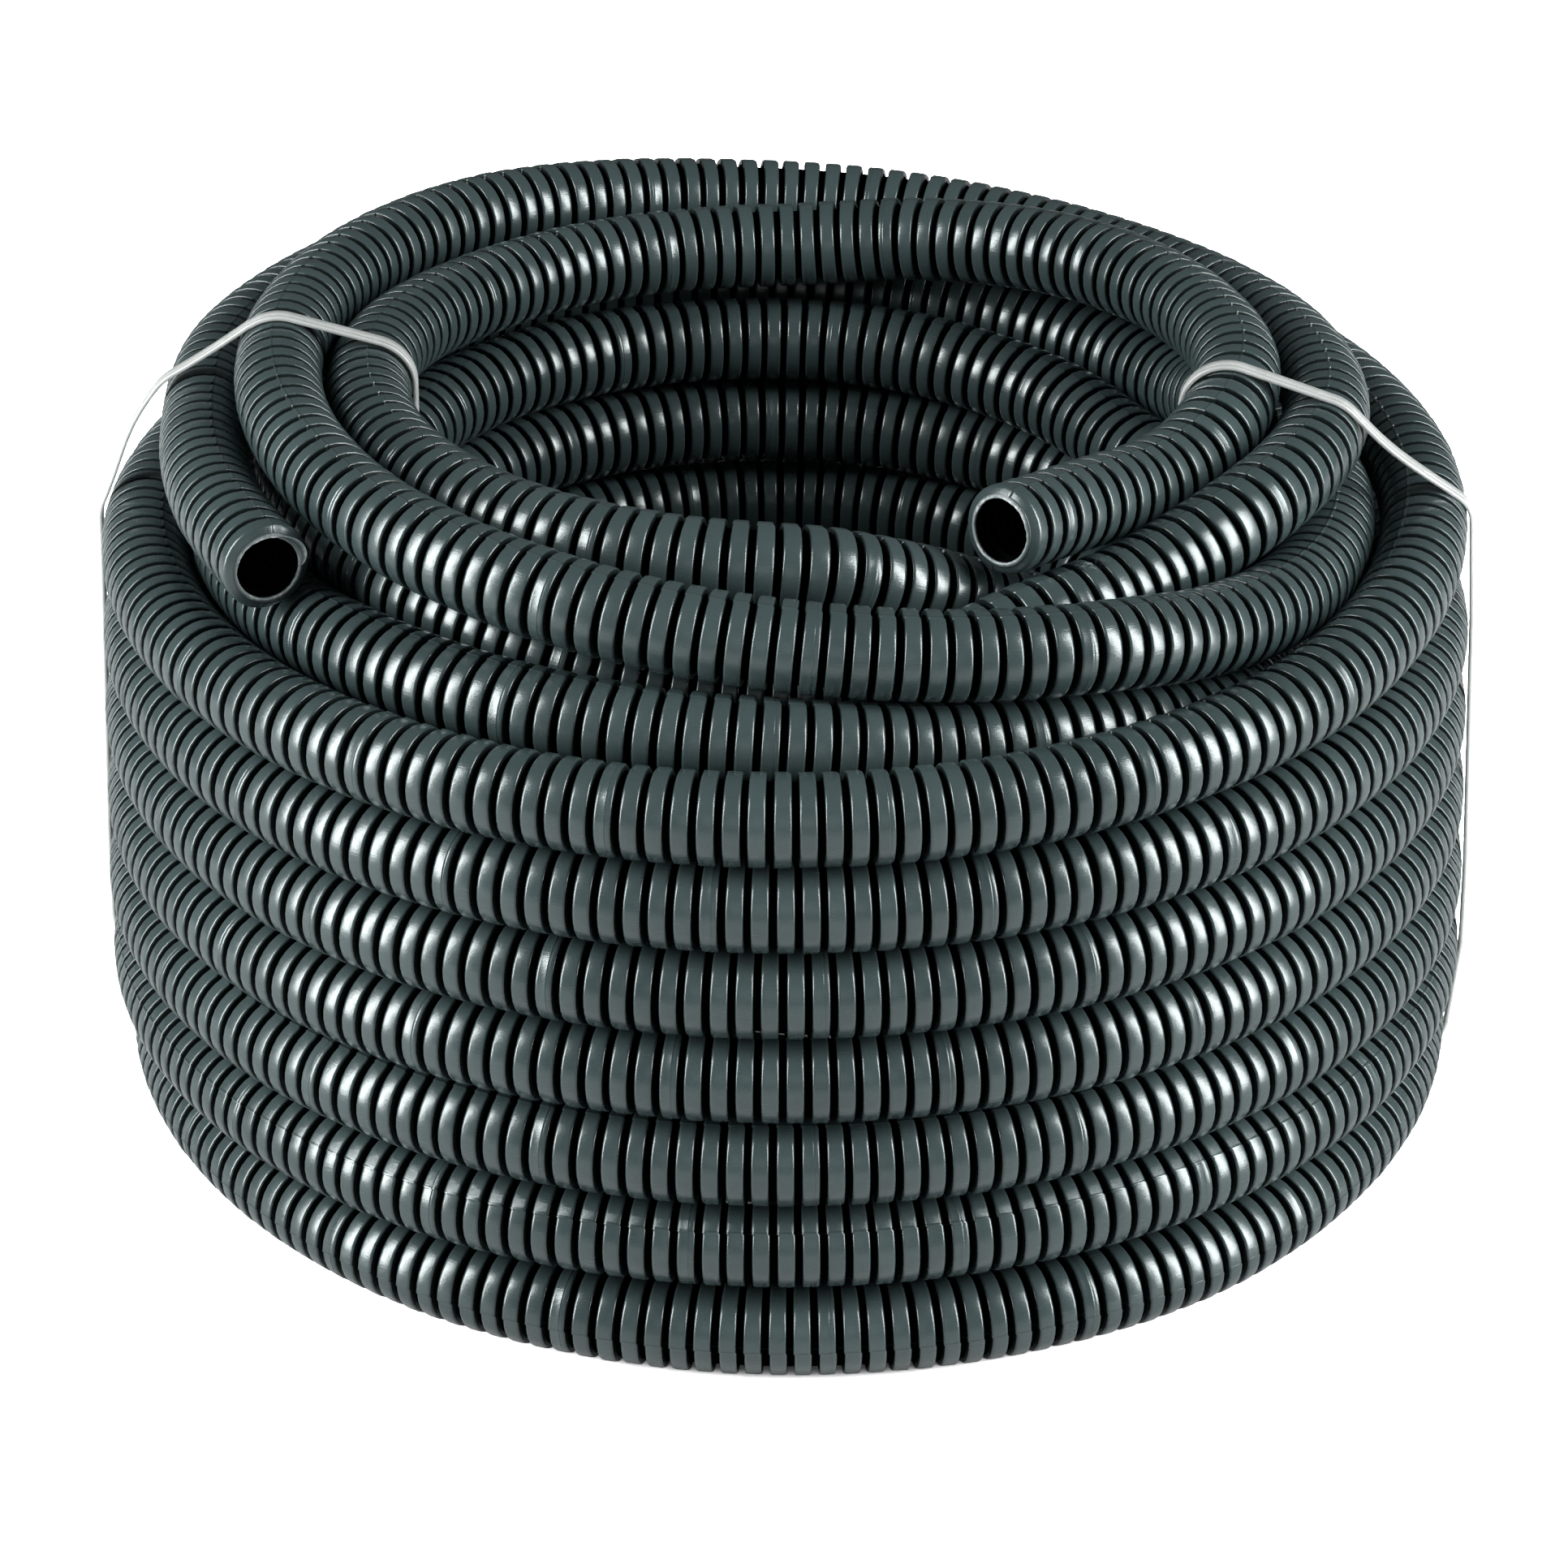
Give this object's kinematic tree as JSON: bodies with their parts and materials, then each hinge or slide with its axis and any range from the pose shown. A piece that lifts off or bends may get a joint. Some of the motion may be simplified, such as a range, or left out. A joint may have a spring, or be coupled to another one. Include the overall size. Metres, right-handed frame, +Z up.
{
  "type": "sewer hose kit",
  "caption": "Free-standing coil of ribbed flexible plastic drain hose, open at both ends, held by two nylon cable ties.",
  "frame": {"origin": "on the roll's axis, at the floor under its lowest loops", "axes": "+Z up along the roll's axis, -Y towards the front, +X to the right as seen from the front"},
  "size_m": [0.4476, 0.4458, 0.2604],
  "materials": {
    "hose": "satin",
    "tie": "satin"
  },
  "bodies": {
    "root": {"hose_coil": "hose", "hose_end_right": "hose", "hose_end_left": "hose", "cable_tie_left": "tie", "cable_tie_right": "tie"}
  },
  "joints": []
}
